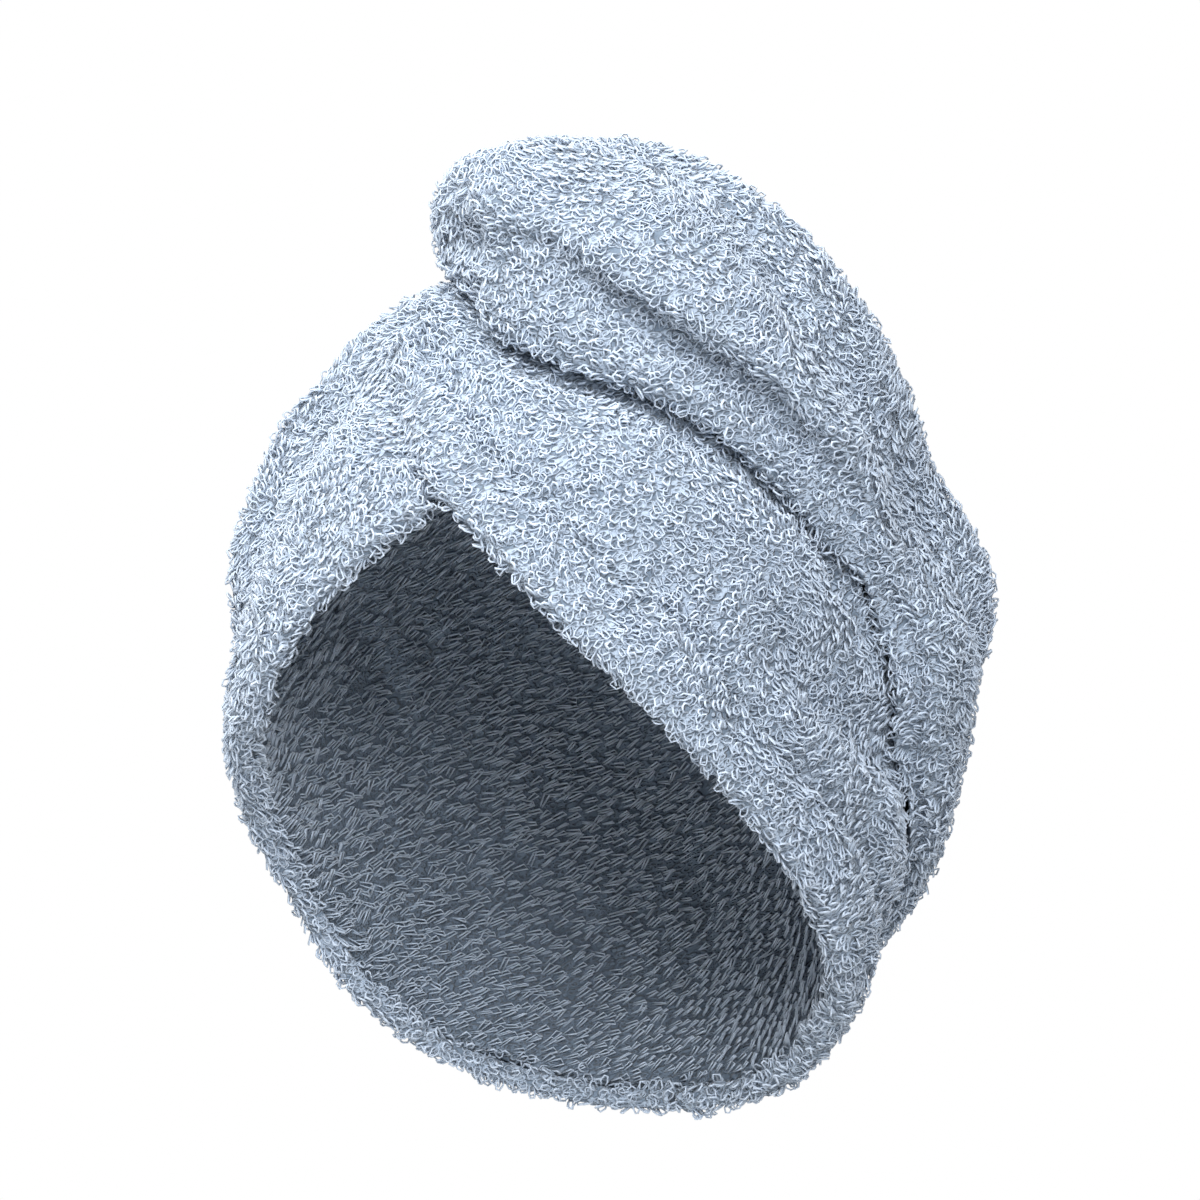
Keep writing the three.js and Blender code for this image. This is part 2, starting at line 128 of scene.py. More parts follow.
# Creases and small ridges of the cloth. Width and height in millimetres, the height
# negative for a crease, and the places in degrees over the head.
CREASES = (
    {"name": "beside the front seam, on the left panel", "width": 3.4, "height": -3.4,
     "places": ((-27, 52), (-19, 47), (-13, 42.5), (-8, 38), (-2, 33), (4, 26.5),
                (12, 17), (20, 9), (28, 1), (37, -7), (46, -13))},
    {"name": "beside the front seam, on the right panel", "width": 2.8, "height": -2.4,
     "places": ((-26, 46), (-18, 39), (-12, 32), (-5, 22), (1, 13))},
    {"name": "down the right panel", "width": 5.0, "height": -2.2,
     "places": ((-28, 50), (-37, 42), (-44, 32), (-49, 18), (-51, 4))},
    {"name": "beside the right ear", "width": 6.0, "height": 2.0,
     "places": ((-40, 56), (-52, 40), (-59, 22), (-62, 4), (-66, -12))},
    {"name": "over the left hem", "width": 3.6, "height": -3.0,
     "places": ((47, -11), (56, -17), (67, -21.5), (79, -25), (93, -28.5), (107, -31))},
    {"name": "pocket behind the left panel", "width": 4.4, "height": -3.0,
     "places": ((52, -3), (63, -8.5), (73, -13), (91, -16), (108, -14))},
    {"name": "long ridge of the left panel", "width": 5.0, "height": 1.5,
     "places": ((-10, 45), (11, 33.5), (30, 16.5), (47, 3.6), (58, -5))},
    {"name": "upper ridge of the left panel", "width": 4.0, "height": 1.2,
     "places": ((-4, 46), (16, 34), (36, 21), (54, 10), (70, 0))},
    {"name": "under the lower roll", "width": 4.0, "height": -3.5,
     "places": ((6, 38), (16, 34.5), (26, 32.5), (34, 28.5), (43, 25.5), (51, 23.5),
                (59, 21), (68, 17), (76, 10), (82, 4))},
    {"name": "on the lower roll", "width": 3.0, "height": 1.2,
     "places": ((-8, 50), (13, 40), (34, 31), (54, 24.5), (75, 16), (93, 2))},
    {"name": "across the crown lobe", "width": 5.0, "height": -2.0,
     "places": ((-4, 72), (20, 62), (38, 50), (52, 40), (64, 30))},
)

# The tail's own creases, with the places' distances from the head's centre as well.
TAIL_CREASES = (
    {"name": "between the lower roll and the crown lobe", "width": 5.0, "height": -5.5,
     "places": ((-14, 52, 128), (0, 46, 134), (14.5, 40, 136), (24, 37.7, 128),
                (32.6, 35, 122.5), (40.5, 32.5, 119), (48.3, 29.6, 117), (57.6, 25.6, 111.5),
                (65.7, 21.3, 109), (76.8, 16.7, 105), (87, 12, 104), (96, 3, 102))},
    {"name": "between the two lobes", "width": 6.0, "height": -4.0,
     "places": ((34, 64, 150), (45, 57, 142), (51.6, 51.3, 134), (58, 42, 126),
                (68, 36.6, 119), (81.6, 29.5, 109), (92, 24.5, 104), (102, 14, 108))},
    {"name": "along the lower roll", "width": 4.5, "height": 1.5,
     "places": ((-10, 50, 126), (13.5, 40, 122), (24.6, 35, 118), (34, 31, 115),
                (43.7, 28, 112), (54, 25, 108), (64.7, 21, 103.6), (76, 17, 98.5), (88, 6, 98))},
)


class TerryCloth(bpy.types.PropertyGroup):
    """What a user would change in the terry."""

    loop_colour: FloatVectorProperty(
        name="Loop colour", description="Colour of the yarn at the tips of its loops",
        subtype="COLOR", size=3, min=0.0, max=1.0, default=(0.60, 0.69, 0.81),
    )
    # Painted shade: the yarn's colour darkened at the feet of the loops, where the pile shades them
    shaded_foot_colour: FloatVectorProperty(
        name="Deep colour", description="Colour of the yarn at the feet of its loops",
        subtype="COLOR", size=3, min=0.0, max=1.0, default=(0.25, 0.32, 0.41),
    )
    # Painted shade: the ground cloth inside the hood is darkened, where the hollow is in shade
    shaded_inside_ground: FloatVectorProperty(
        name="Inside ground", description="Colour of the ground cloth that faces the head",
        subtype="COLOR", size=3, min=0.0, max=1.0, default=(0.13, 0.17, 0.22),
    )
    loop_length: FloatProperty(
        name="Loop length", description="Length of one loop from its foot to its tip",
        unit="LENGTH", default=3.0 * MILLIMETRE,
    )
    loop_width: FloatProperty(
        name="Loop width", description="Width of one loop at its widest",
        unit="LENGTH", default=2.2 * MILLIMETRE,
    )
    yarn_radius: FloatProperty(
        name="Yarn radius", description="Radius of the yarn of a loop",
        unit="LENGTH", default=0.31 * MILLIMETRE,
    )
    outside_spacing: FloatProperty(
        name="Outside spacing", description="Cell in which one loop of the outside stands",
        unit="LENGTH", default=2.37 * MILLIMETRE,
    )
    inside_spacing: FloatProperty(
        name="Inside spacing", description="Cell in which one loop of the inside stands",
        unit="LENGTH", default=2.95 * MILLIMETRE,
    )
    fold_height: FloatProperty(
        name="Fold height", description="Height of the soft folds that fan out from the tail",
        unit="LENGTH", default=1.3 * MILLIMETRE,
    )
    inset: FloatProperty(
        name="Inset", description="How far the ground cloth is drawn in under the outside loops",
        unit="LENGTH", default=0.8 * MILLIMETRE,
    )


class StudioView(bpy.types.PropertyGroup):
    """Where the camera and the lights stand."""

    azimuth: FloatProperty(
        name="Azimuth", description="Camera's turn from the front to the wearer's left",
        subtype="ANGLE", default=math.radians(28),
    )
    elevation: FloatProperty(
        name="Elevation", description="Camera's height over the head's centre, as an angle",
        subtype="ANGLE", default=math.radians(-14),
    )
    roll: FloatProperty(
        name="Roll", description="How far the picture is turned clockwise",
        subtype="ANGLE", default=math.radians(6),
    )
    distance: FloatProperty(
        name="Distance", description="From the camera to the head's centre",
        unit="LENGTH", default=1.6,
    )
    key_power: FloatProperty(
        name="Key power", description="Watts of the large light over the left of the picture",
        default=42.0,
    )
    fill_power: FloatProperty(
        name="Fill power", description="Watts of the light over the camera", default=28.0,
    )
    rear_power: FloatProperty(
        name="Rear power", description="Watts of the light behind the towel", default=9.0,
    )
    room_light: FloatProperty(
        name="Room light", description="Strength of the light from all round", default=0.09,
    )


def direction(azimuth, elevation):
    level = math.cos(math.radians(elevation))
    return np.array([
        math.sin(math.radians(azimuth)) * level,
        -math.cos(math.radians(azimuth)) * level,
        math.sin(math.radians(elevation)),
    ])


def unit(vectors):
    return vectors / np.maximum(np.linalg.norm(vectors, axis=-1, keepdims=True), 1e-12)


def smooth(low, high, value):
    share = np.clip((value - low) / (high - low), 0.0, 1.0)
    return share * share * (3.0 - 2.0 * share)


def select_only(piece):
    bpy.ops.object.select_all(action="DESELECT")
    piece.select_set(True)
    bpy.context.view_layer.objects.active = piece


def places_of(mesh, kind="co"):
    values = np.empty(len(mesh.vertices) * 3)
    mesh.vertices.foreach_get(kind, values)
    return values.reshape(-1, 3)


def move_to(mesh, places):
    mesh.vertices.foreach_set("co", places.ravel())
    mesh.update()


def ripple(points, wavelength, seed, waves=7):
    """A soft uneven surface from -1 to 1, as a sum of waves in random directions."""
    draw = np.random.default_rng(seed)
    ways = unit(draw.normal(size=(waves, 3))) * (2.0 * math.pi / wavelength)
    starts = draw.uniform(0.0, 2.0 * math.pi, waves)
    return np.sin(points @ ways.T + starts).sum(axis=1) / math.sqrt(waves) * 0.7


def fan_folds(points):
    """Soft folds that fan out over the head from the root of the tail, from -1 to 1."""
    root = direction(*TAIL_ROOT)
    side = unit(np.cross(root, [0.0, 0.0, 1.0]))
    rise = np.cross(side, root)
    ways = unit(points - HEAD_CENTRE)
    turn = np.arctan2(ways @ rise, ways @ side)
    reach = np.arccos(np.clip(ways @ root, -1.0, 1.0))
    uneven = ripple(points, 0.11, seed=5)
    folds = sum(height * np.sin(count * turn + sway * uneven) for count, sway, height in FAN_WAVES)
    fading = 0.6 + 0.4 * ripple(points, 0.09, seed=6)
    return folds * smooth(FAN_STARTS, FAN_FULL, reach) * fading


def along_line(points, line, width):
    """How near each point is to a line of points: 1 on it, 0 far off and at its ends."""
    nearest = np.full(len(points), np.inf)
    share = np.zeros(len(points))
    for index in range(1, len(line)):
        run = line[index] - line[index - 1]
        offset = points - line[index - 1]
        part = np.clip(offset @ run / (run @ run), 0.0, 1.0)
        distance = np.linalg.norm(offset - part[:, None] * run, axis=1)
        nearer = distance < nearest
        nearest = np.where(nearer, distance, nearest)
        share = np.where(nearer, (index - 1 + part) / (len(line) - 1), share)
    ends = smooth(0.0, 0.15, np.minimum(share, 1.0 - share))
    return np.exp(-(nearest / width) ** 2) * ends


def crease_heights(points, creases):
    """The creases and small ridges of a table, in metres."""
    heights = np.zeros(len(points))
    for crease in creases:
        line = [direction(turn, rise) * distance for turn, rise, distance in crease["places"]]
        width = crease["width"] * MILLIMETRE
        heights += crease["height"] * along_line(points, np.array(line) * MILLIMETRE, width)
    return heights * MILLIMETRE


def fine_folds(points):
    """Creases that run over the head, on whichever layer lies there."""
    on_sphere = unit(points - HEAD_CENTRE) * MEAN_RADIUS
    at_mean = [
        {**crease, "places": [(*place, MEAN_RADIUS / MILLIMETRE) for place in crease["places"]]}
        for crease in CREASES
    ]
    return crease_heights(on_sphere, at_mean)


def cloth_from_node(node, name, levels):
    """A merged and rounded copy of one solid, with its place in its mesh."""
    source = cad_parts[node]
    mesh = source.data.copy()
    mesh.name = name
    mesh.transform(source.matrix_world)
    mesh.materials.clear()
    piece = bpy.data.objects.new(name, mesh)
    bpy.context.collection.objects.link(piece)
    select_only(piece)
    bpy.ops.mesh.customdata_custom_splitnormals_clear()
    shell = bmesh.new()
    shell.from_mesh(mesh)
    bmesh.ops.remove_doubles(shell, verts=shell.verts, dist=MERGE_DISTANCE)
    shell.to_mesh(mesh)
    shell.free()
    rounding = piece.modifiers.new("rounding", "SUBSURF")
    rounding.levels = levels
    rounding.render_levels = levels
    bpy.ops.object.modifier_apply(modifier=rounding.name)
    bpy.ops.object.shade_smooth()
    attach(piece, BODY)
    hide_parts(node)
    return piece


def crease_cloth(piece, inset, fold_height, creases=()):
    """Draws the outside of the cloth in under its loops and lays the soft folds over both sides."""
    points = places_of(piece.data)
    normals = places_of(piece.data, "normal")
    outside = ((points - HEAD_CENTRE) * normals).sum(axis=1) > 0.0
    depth = crease_heights(points - HEAD_CENTRE, creases) - inset * outside
    points += normals * depth[:, None]
    lift = fold_height * fan_folds(points) + fine_folds(points)
    lift += DIMPLE_HEIGHT * ripple(points, DIMPLE_LENGTH, seed=8, waves=12)
    points += unit(points - HEAD_CENTRE) * lift[:, None]
    move_to(piece.data, points)


# Finishes

def new_material(name):
    material = bpy.data.materials.new(name)
    material.use_nodes = True
    nodes = material.node_tree.nodes
    return material, nodes, material.node_tree.links, nodes["Principled BSDF"]


def object_noise(nodes, links, scale, detail=3.0):
    place = nodes.new("ShaderNodeTexCoord")
    noise = nodes.new("ShaderNodeTexNoise")
    noise.inputs["Scale"].default_value = scale
    noise.inputs["Detail"].default_value = detail
    links.new(place.outputs["Object"], noise.inputs["Vector"])
    return noise


def mixed_colour(nodes, links, factor, low, high):
    mix = nodes.new("ShaderNodeMix")
    mix.data_type = "RGBA"
    mix.inputs["A"].default_value = (*low, 1.0)
    mix.inputs["B"].default_value = (*high, 1.0)
    links.new(factor, mix.inputs["Factor"])
    return mix


def ring_layer(nodes, links, scale, start):
    """Long rings over the cloth: 1 on a ring, 0 in its eye and between rings."""
    place = nodes.new("ShaderNodeTexCoord")
    turned = nodes.new("ShaderNodeVectorRotate")
    turned.rotation_type = "EULER_XYZ"
    turned.inputs["Rotation"].default_value = Vector(BRUSHED).to_track_quat("X", "Z").to_euler()
    turned.invert = True
    links.new(place.outputs["Object"], turned.inputs["Vector"])
    moved = nodes.new("ShaderNodeVectorMath")
    moved.operation = "MULTIPLY_ADD"
    moved.inputs[1].default_value = (RING_STRETCH, 1.0, 1.0)
    moved.inputs[2].default_value = (start, 2.0 * start, 3.0 * start)
    links.new(turned.outputs[0], moved.inputs[0])
    cells = nodes.new("ShaderNodeTexVoronoi")
    cells.inputs["Scale"].default_value = scale
    links.new(moved.outputs[0], cells.inputs["Vector"])
    ring = nodes.new("ShaderNodeMapRange")
    ring.interpolation_type = "SMOOTHSTEP"
    off_ring = nodes.new("ShaderNodeMath")
    off_ring.operation = "SUBTRACT"
    off_ring.inputs[1].default_value = RING_RADIUS
    links.new(cells.outputs["Distance"], off_ring.inputs[0])
    size = nodes.new("ShaderNodeMath")
    size.operation = "ABSOLUTE"
    links.new(off_ring.outputs[0], size.inputs[0])
    ring.inputs["From Min"].default_value = RING_EDGE
    ring.inputs["From Max"].default_value = RING_TOP
    links.new(size.outputs[0], ring.inputs["Value"])
    return ring


def ground_cloth_material(cloth):
    """The cloth under the loops, with lower loops drawn on it as rings and painted shade in the
    gaps between them, darker inside with more painted shade.
    """
    material, nodes, links, shader = new_material("terry_ground")
    rings = nodes.new("ShaderNodeMath")
    rings.operation = "MAXIMUM"
    for socket, (scale, start) in zip(rings.inputs, RING_LAYERS):
        links.new(ring_layer(nodes, links, scale, start).outputs["Result"], socket)
    # Painted shade: the ground in the gaps between the drawn rings is a darkened foot colour, and
    # the rings are paler
    pale = [0.5 * foot_shade + 0.5 * tip for foot_shade, tip in zip(cloth.shaded_foot_colour, cloth.loop_colour)]
    gap_shade = [0.7 * foot_shade for foot_shade in cloth.shaded_foot_colour]
    outside = mixed_colour(nodes, links, rings.outputs[0], gap_shade, pale)
    # Painted shade: the ground that faces the head takes the darker inside colour
    inside = mixed_colour(nodes, links, rings.outputs[0], cloth.shaded_inside_ground, gap_shade)
    side = nodes.new("ShaderNodeAttribute")
    side.attribute_name = "inside"
    mix = mixed_colour(nodes, links, side.outputs["Fac"], gap_shade, gap_shade)
    links.new(outside.outputs["Result"], mix.inputs["A"])
    links.new(inside.outputs["Result"], mix.inputs["B"])
    links.new(mix.outputs["Result"], shader.inputs["Base Color"])
    bump = nodes.new("ShaderNodeBump")
    bump.inputs["Strength"].default_value = 1.0
    bump.inputs["Distance"].default_value = 1.0 * MILLIMETRE
    links.new(rings.outputs[0], bump.inputs["Height"])
    links.new(bump.outputs["Normal"], shader.inputs["Normal"])
    shader.inputs["Roughness"].default_value = 0.95
    shader.inputs["Specular IOR Level"].default_value = 0.1
    shader.inputs["Sheen Weight"].default_value = 0.15
    return material


def loop_material(cloth):
    """The yarn of the loops, paler towards their tips with painted shade at their feet, and a
    little uneven.
    """
    material, nodes, links, shader = new_material("terry_loops")
    shade_and_tone = nodes.new("ShaderNodeAttribute")
    shade_and_tone.attribute_name = "shade_and_tone"
    patches = object_noise(nodes, links, 28.0)
    uneven = nodes.new("ShaderNodeMath")
    uneven.operation = "MULTIPLY_ADD"
    uneven.inputs[1].default_value = 0.25
    links.new(patches.outputs["Fac"], uneven.inputs[0])
    links.new(shade_and_tone.outputs["Fac"], uneven.inputs[2])
    # Painted shade: the yarn is mixed towards the shaded foot colour at the feet of each loop; the
    # noise patches are the yarn's own unevenness
    mix = mixed_colour(nodes, links, uneven.outputs[0], cloth.shaded_foot_colour, cloth.loop_colour)
    mix.clamp_factor = True
    links.new(mix.outputs["Result"], shader.inputs["Base Color"])
    shader.inputs["Roughness"].default_value = 0.9
    shader.inputs["Specular IOR Level"].default_value = 0.15
    shader.inputs["Sheen Weight"].default_value = 0.25
    shader.inputs["Sheen Roughness"].default_value = 0.5
    return material


def button_material():
    material, nodes, links, shader = new_material("button_plastic")
    clouds = object_noise(nodes, links, 220.0)
    mix = mixed_colour(nodes, links, clouds.outputs["Fac"], (0.5, 0.57, 0.66), (0.62, 0.69, 0.77))
    links.new(mix.outputs["Result"], shader.inputs["Base Color"])
    shader.inputs["Roughness"].default_value = 0.38
    shader.inputs["Coat Weight"].default_value = 0.2
    return material


def elastic_material():
    material, nodes, links, shader = new_material("elastic_cord")
    ribs = object_noise(nodes, links, 1600.0)
    mix = mixed_colour(nodes, links, ribs.outputs["Fac"], (0.48, 0.54, 0.6), (0.76, 0.8, 0.85))
    links.new(mix.outputs["Result"], shader.inputs["Base Color"])
    bump = nodes.new("ShaderNodeBump")
    bump.inputs["Strength"].default_value = 0.5
    bump.inputs["Distance"].default_value = 0.3 * MILLIMETRE
    links.new(ribs.outputs["Fac"], bump.inputs["Height"])
    links.new(bump.outputs["Normal"], shader.inputs["Normal"])
    shader.inputs["Roughness"].default_value = 0.8
    return material


def finish_piece(piece, material):
    piece.data.materials.clear()
    piece.data.materials.append(material)


# Loops of the terry

# A loop, foot to foot: sideways in widths, along in lengths, and its brightness there, low at the
# feet for painted shade. The round one stands on the outside and the long one, with fewer points,
# lies on the inside.
ROUND_LOOP = np.array([
    [-0.20, -0.06, 0.20],
    [-0.50, 0.50, 0.75],
    [-0.28, 0.96, 1.0],
    [0.28, 0.98, 1.0],
    [0.50, 0.52, 0.75],
    [0.20, -0.06, 0.20],
])
LONG_LOOP = np.array([
    [-0.12, -0.06, 0.12],
    [-0.26, 1.05, 0.95],
    [0.20, 1.25, 1.0],
    [0.20, -0.06, 0.12],
])
YARN_SIDES = 3


def exposed_spots(piece, blockers, spacing, keep, seed):
    """Places for loops on the faces that nothing lies on, one to a cell of the spacing."""
    draw = np.random.default_rng(seed)
    mesh = piece.data
    mesh.calc_loop_triangles()
    corners = np.empty(len(mesh.loop_triangles) * 3, dtype=np.int64)
    mesh.loop_triangles.foreach_get("vertices", corners)
    corners = corners.reshape(-1, 3)
    points = places_of(mesh)
    normals = places_of(mesh, "normal")
    a, b, c = (points[corners[:, side]] for side in range(3))
    across = np.cross(b - a, c - a)
    areas = np.linalg.norm(across, axis=1) / 2.0
    facing = unit(across)
    middles = (a + b + c) / 3.0
    open_faces = keep(middles, facing)
    for index in np.flatnonzero(open_faces):
        start = Vector(middles[index] + facing[index] * CLEAR_OF_FACE)
        if blockers.ray_cast(start, Vector(facing[index]), COVERED_WITHIN)[0] is not None:
            open_faces[index] = False
    areas = np.where(open_faces, areas, 0.0)
    count = int(areas.sum() / spacing ** 2 * TRIES_PER_CELL)
    faces = np.searchsorted(np.cumsum(areas), draw.uniform(0.0, areas.sum(), count))
    first, second = draw.uniform(size=(2, count))
    turned = first + second > 1.0
    first, second = np.where(turned, 1 - first, first), np.where(turned, 1 - second, second)
    weights = np.stack([1 - first - second, first, second], axis=1)[:, :, None]
    spots = (points[corners[faces]] * weights).sum(axis=1)
    outward = unit((normals[corners[faces]] * weights).sum(axis=1))
    cells = np.floor(spots / spacing).astype(np.int64)
    off_centre = np.linalg.norm(spots / spacing - cells - 0.5, axis=1)
    order = np.argsort(off_centre)
    order = order[off_centre[order] < EVEN_WITHIN]
    chosen = order[np.unique(cells[order], axis=0, return_index=True)[1]]
    return spots[chosen], outward[chosen]


def mark_inside(piece):
    """Marks the ground cloth that faces the head, which the ground material darkens with painted
    shade.
    """
    facing = places_of(piece.data, "normal")
    inward = ((places_of(piece.data) - HEAD_CENTRE) * facing).sum(axis=1) < 0.0
    mark = piece.data.attributes.new("inside", "FLOAT", "POINT")
    mark.data.foreach_set("value", inward.astype(np.float32))


def loops_mesh(name, shape, spots, outward, lays, tilts, cloth, draw):
    """Closed bent yarns, one at each spot, lying over along its lay."""
    count = len(spots)
    lays = unit(lays - outward * (lays * outward).sum(axis=1, keepdims=True))
    sideways = np.cross(lays, outward)
    rising = lays * np.cos(tilts)[:, None] + outward * np.sin(tilts)[:, None]
    lengths = cloth.loop_length * draw.uniform(*LENGTH_PLAY, count)
    widths = cloth.loop_width * draw.uniform(*WIDTH_PLAY, count)
    stations = len(shape)
    skews = draw.normal(0.0, SKEW_PLAY, (count, stations))
    path = (
        spots[:, None, :]
        + sideways[:, None, :] * ((shape[:, 0] + skews) * widths[:, None])[:, :, None]
        + rising[:, None, :] * (shape[:, 1] * lengths[:, None])[:, :, None]
    )
    ahead = np.concatenate([path[:, 1:], path[:, -1:]], axis=1)
    behind = np.concatenate([path[:, :1], path[:, :-1]], axis=1)
    tangents = unit(ahead - behind)
    flat = unit(np.cross(sideways, rising))[:, None, :]
    inward = unit(np.cross(tangents, flat))
    radii = cloth.yarn_radius * draw.uniform(*YARN_PLAY, count)[:, None, None]
    rings = []
    for side in range(YARN_SIDES):
        angle = 2.0 * math.pi * side / YARN_SIDES + math.pi / 2.0
        rings.append(path + radii * (math.cos(angle) * inward + math.sin(angle) * flat))
    points = np.stack(rings, axis=2).reshape(-1, 3)

    quads = []
    for station in range(stations - 1):
        for side in range(YARN_SIDES):
            here = station * YARN_SIDES + side
            beside = station * YARN_SIDES + (side + 1) % YARN_SIDES
            quads.append([here, beside, beside + YARN_SIDES, here + YARN_SIDES])
    last = (stations - 1) * YARN_SIDES
    caps = [[2, 1, 0], [last, last + 1, last + 2]]
    shifts = np.arange(count)[:, None] * stations * YARN_SIDES
    quads = (shifts + np.array(quads).ravel()[None, :]).reshape(-1, 4)
    caps = (shifts + np.array(caps).ravel()[None, :]).reshape(-1, 3)
    corners = np.concatenate([quads.ravel(), caps.ravel()])
    sizes = np.concatenate([np.full(len(quads), 4), np.full(len(caps), 3)])

    mesh = bpy.data.meshes.new(name)
    mesh.vertices.add(len(points))
    mesh.vertices.foreach_set("co", points.ravel())
    mesh.loops.add(len(corners))
    mesh.loops.foreach_set("vertex_index", corners)
    mesh.polygons.add(len(sizes))
    mesh.polygons.foreach_set("loop_start", np.concatenate([[0], np.cumsum(sizes)[:-1]]))
    mesh.update(calc_edges=True)
    mesh.validate()
    mesh.shade_smooth()
    # Painted shade darkens each loop towards its feet by the shape's last column; the random share
    # of each loop is the yarn's own tone
    shades_and_tones = shape[:, 2] * draw.uniform(*TONE_PLAY, count)[:, None]
    shade_and_tone = mesh.attributes.new("shade_and_tone", "FLOAT", "POINT")
    shade_and_tone.data.foreach_set("value", np.repeat(shades_and_tones.ravel(), YARN_SIDES))
    return mesh


def add_loops(name, shape, spots, outward, lays, tilts, cloth, material, seed):
    """Makes the loops as pieces of at most LOOPS_PER_PIECE, from one side to the other."""
    draw = np.random.default_rng(seed)
    order = np.argsort(spots[:, 0])
    parts = np.array_split(order, math.ceil(len(order) / LOOPS_PER_PIECE))
    pieces = []
    for number, part in enumerate(parts, start=1):
        title = f"{name}_{number}"
        mesh = loops_mesh(
            title, shape, spots[part], outward[part], lays[part], tilts[part], cloth, draw)
        piece = bpy.data.objects.new(title, mesh)
        bpy.context.collection.objects.link(piece)
        finish_piece(piece, material)
        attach(piece, BODY)
        pieces.append(piece)
    return pieces


def outside_lays(spots, draw):
    """Uneven lays in patches, with much play from loop to loop."""
    lays = np.stack([ripple(spots, PATCH_LENGTH, seed) for seed in (21, 22, 23)], axis=1)
    return unit(lays) + draw.normal(0.0, PATCH_PLAY, lays.shape)


def inside_lays(spots, draw):
    """The inside is brushed one way: towards the wearer's left and a little up."""
    return unit(np.array(BRUSHED)) + draw.normal(0.0, BRUSHED_PLAY, spots.shape)


# Operators

class TURBAN_OT_hood(bpy.types.Operator):
    """Makes the ground cloth of the hollow hood"""

    bl_idname = "turban.hood"
    bl_label = "Hood"

    def execute(self, context):
        cloth = context.scene.terry_cloth
        hood = cloth_from_node("hood", "hood_cloth", 1)
        crease_cloth(hood, cloth.inset, cloth.fold_height)
        mark_inside(hood)
        finish_piece(hood, ground_cloth_material(cloth))
        return {"FINISHED"}


class TURBAN_OT_hems(bpy.types.Operator):
    """Makes the turned hems of the face opening and the front seam"""

    bl_idname = "turban.hems"
    bl_label = "Hems"

    def execute(self, context):
        cloth = context.scene.terry_cloth
        ground = bpy.data.materials["terry_ground"]
        for side in ("left", "right"):
            hem = cloth_from_node(f"{side}_hem", f"{side}_hem_cloth", 1)
            crease_cloth(hem, 0.5 * cloth.inset, cloth.fold_height)
            finish_piece(hem, ground)
        return {"FINISHED"}


class TURBAN_OT_tail(bpy.types.Operator):
    """Makes the wound tail"""

    bl_idname = "turban.tail"
    bl_label = "Tail"

    def execute(self, context):
        cloth = context.scene.terry_cloth
        tail = cloth_from_node("tail", "tail_cloth", 1)
        crease_cloth(tail, cloth.inset, cloth.fold_height, TAIL_CREASES)
        finish_piece(tail, bpy.data.materials["terry_ground"])
        return {"FINISHED"}


class TURBAN_OT_closure(bpy.types.Operator):
    """Makes the button at the nape and the elastic loop round it"""

    bl_idname = "turban.closure"
    bl_label = "Closure"

    def execute(self, context):
        button = cloth_from_node("nape_button", "button", 1)
        finish_piece(button, button_material())
        loop = cloth_from_node("nape_loop", "elastic_loop", 1)
        finish_piece(loop, elastic_material())
        return {"FINISHED"}


class TURBAN_OT_stitch(bpy.types.Operator):
    """Sews the short bar of thread at the peak of the face opening"""

    bl_idname = "turban.stitch"
    bl_label = "Peak stitch"

    def execute(self, context):
        hem = joined_surface([bpy.data.objects["left_hem_cloth"]])
        way = Vector(direction(*FRONT_PEAK))
        centre = Vector(HEAD_CENTRE)
        spot, normal = hem.ray_cast(centre + 2.0 * MEAN_RADIUS * way, -way)[:2]
        if spot is None:
            raise RuntimeError("no hem lies at the peak of the face opening")
        across = normal.cross(Vector((0.0, 0.0, 1.0))).normalized()
        threads = []
        for number in range(STITCH_THREADS):
            drop = (number - (STITCH_THREADS - 1) / 2.0) * STITCH_SPACING
            bpy.ops.object.select_all(action="DESELECT")
            bpy.ops.mesh.primitive_cylinder_add(
                vertices=12, radius=STITCH_RADIUS, depth=STITCH_LENGTH,
                location=spot + normal * STITCH_HEIGHT + across.cross(normal) * drop,
                rotation=across.to_track_quat("Z", "Y").to_euler(),
            )
            threads.append(context.active_object)
        bpy.ops.object.select_all(action="DESELECT")
        for thread in threads:
            thread.select_set(True)
        bpy.ops.object.join()
        stitch = context.active_object
        stitch.name = "peak_stitch"
        bpy.ops.object.transform_apply(location=True, rotation=True, scale=True)
        bpy.ops.object.shade_smooth_by_angle(angle=math.radians(40))
        finish_piece(stitch, bpy.data.materials["elastic_cord"])
        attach(stitch, BODY)
        return {"FINISHED"}


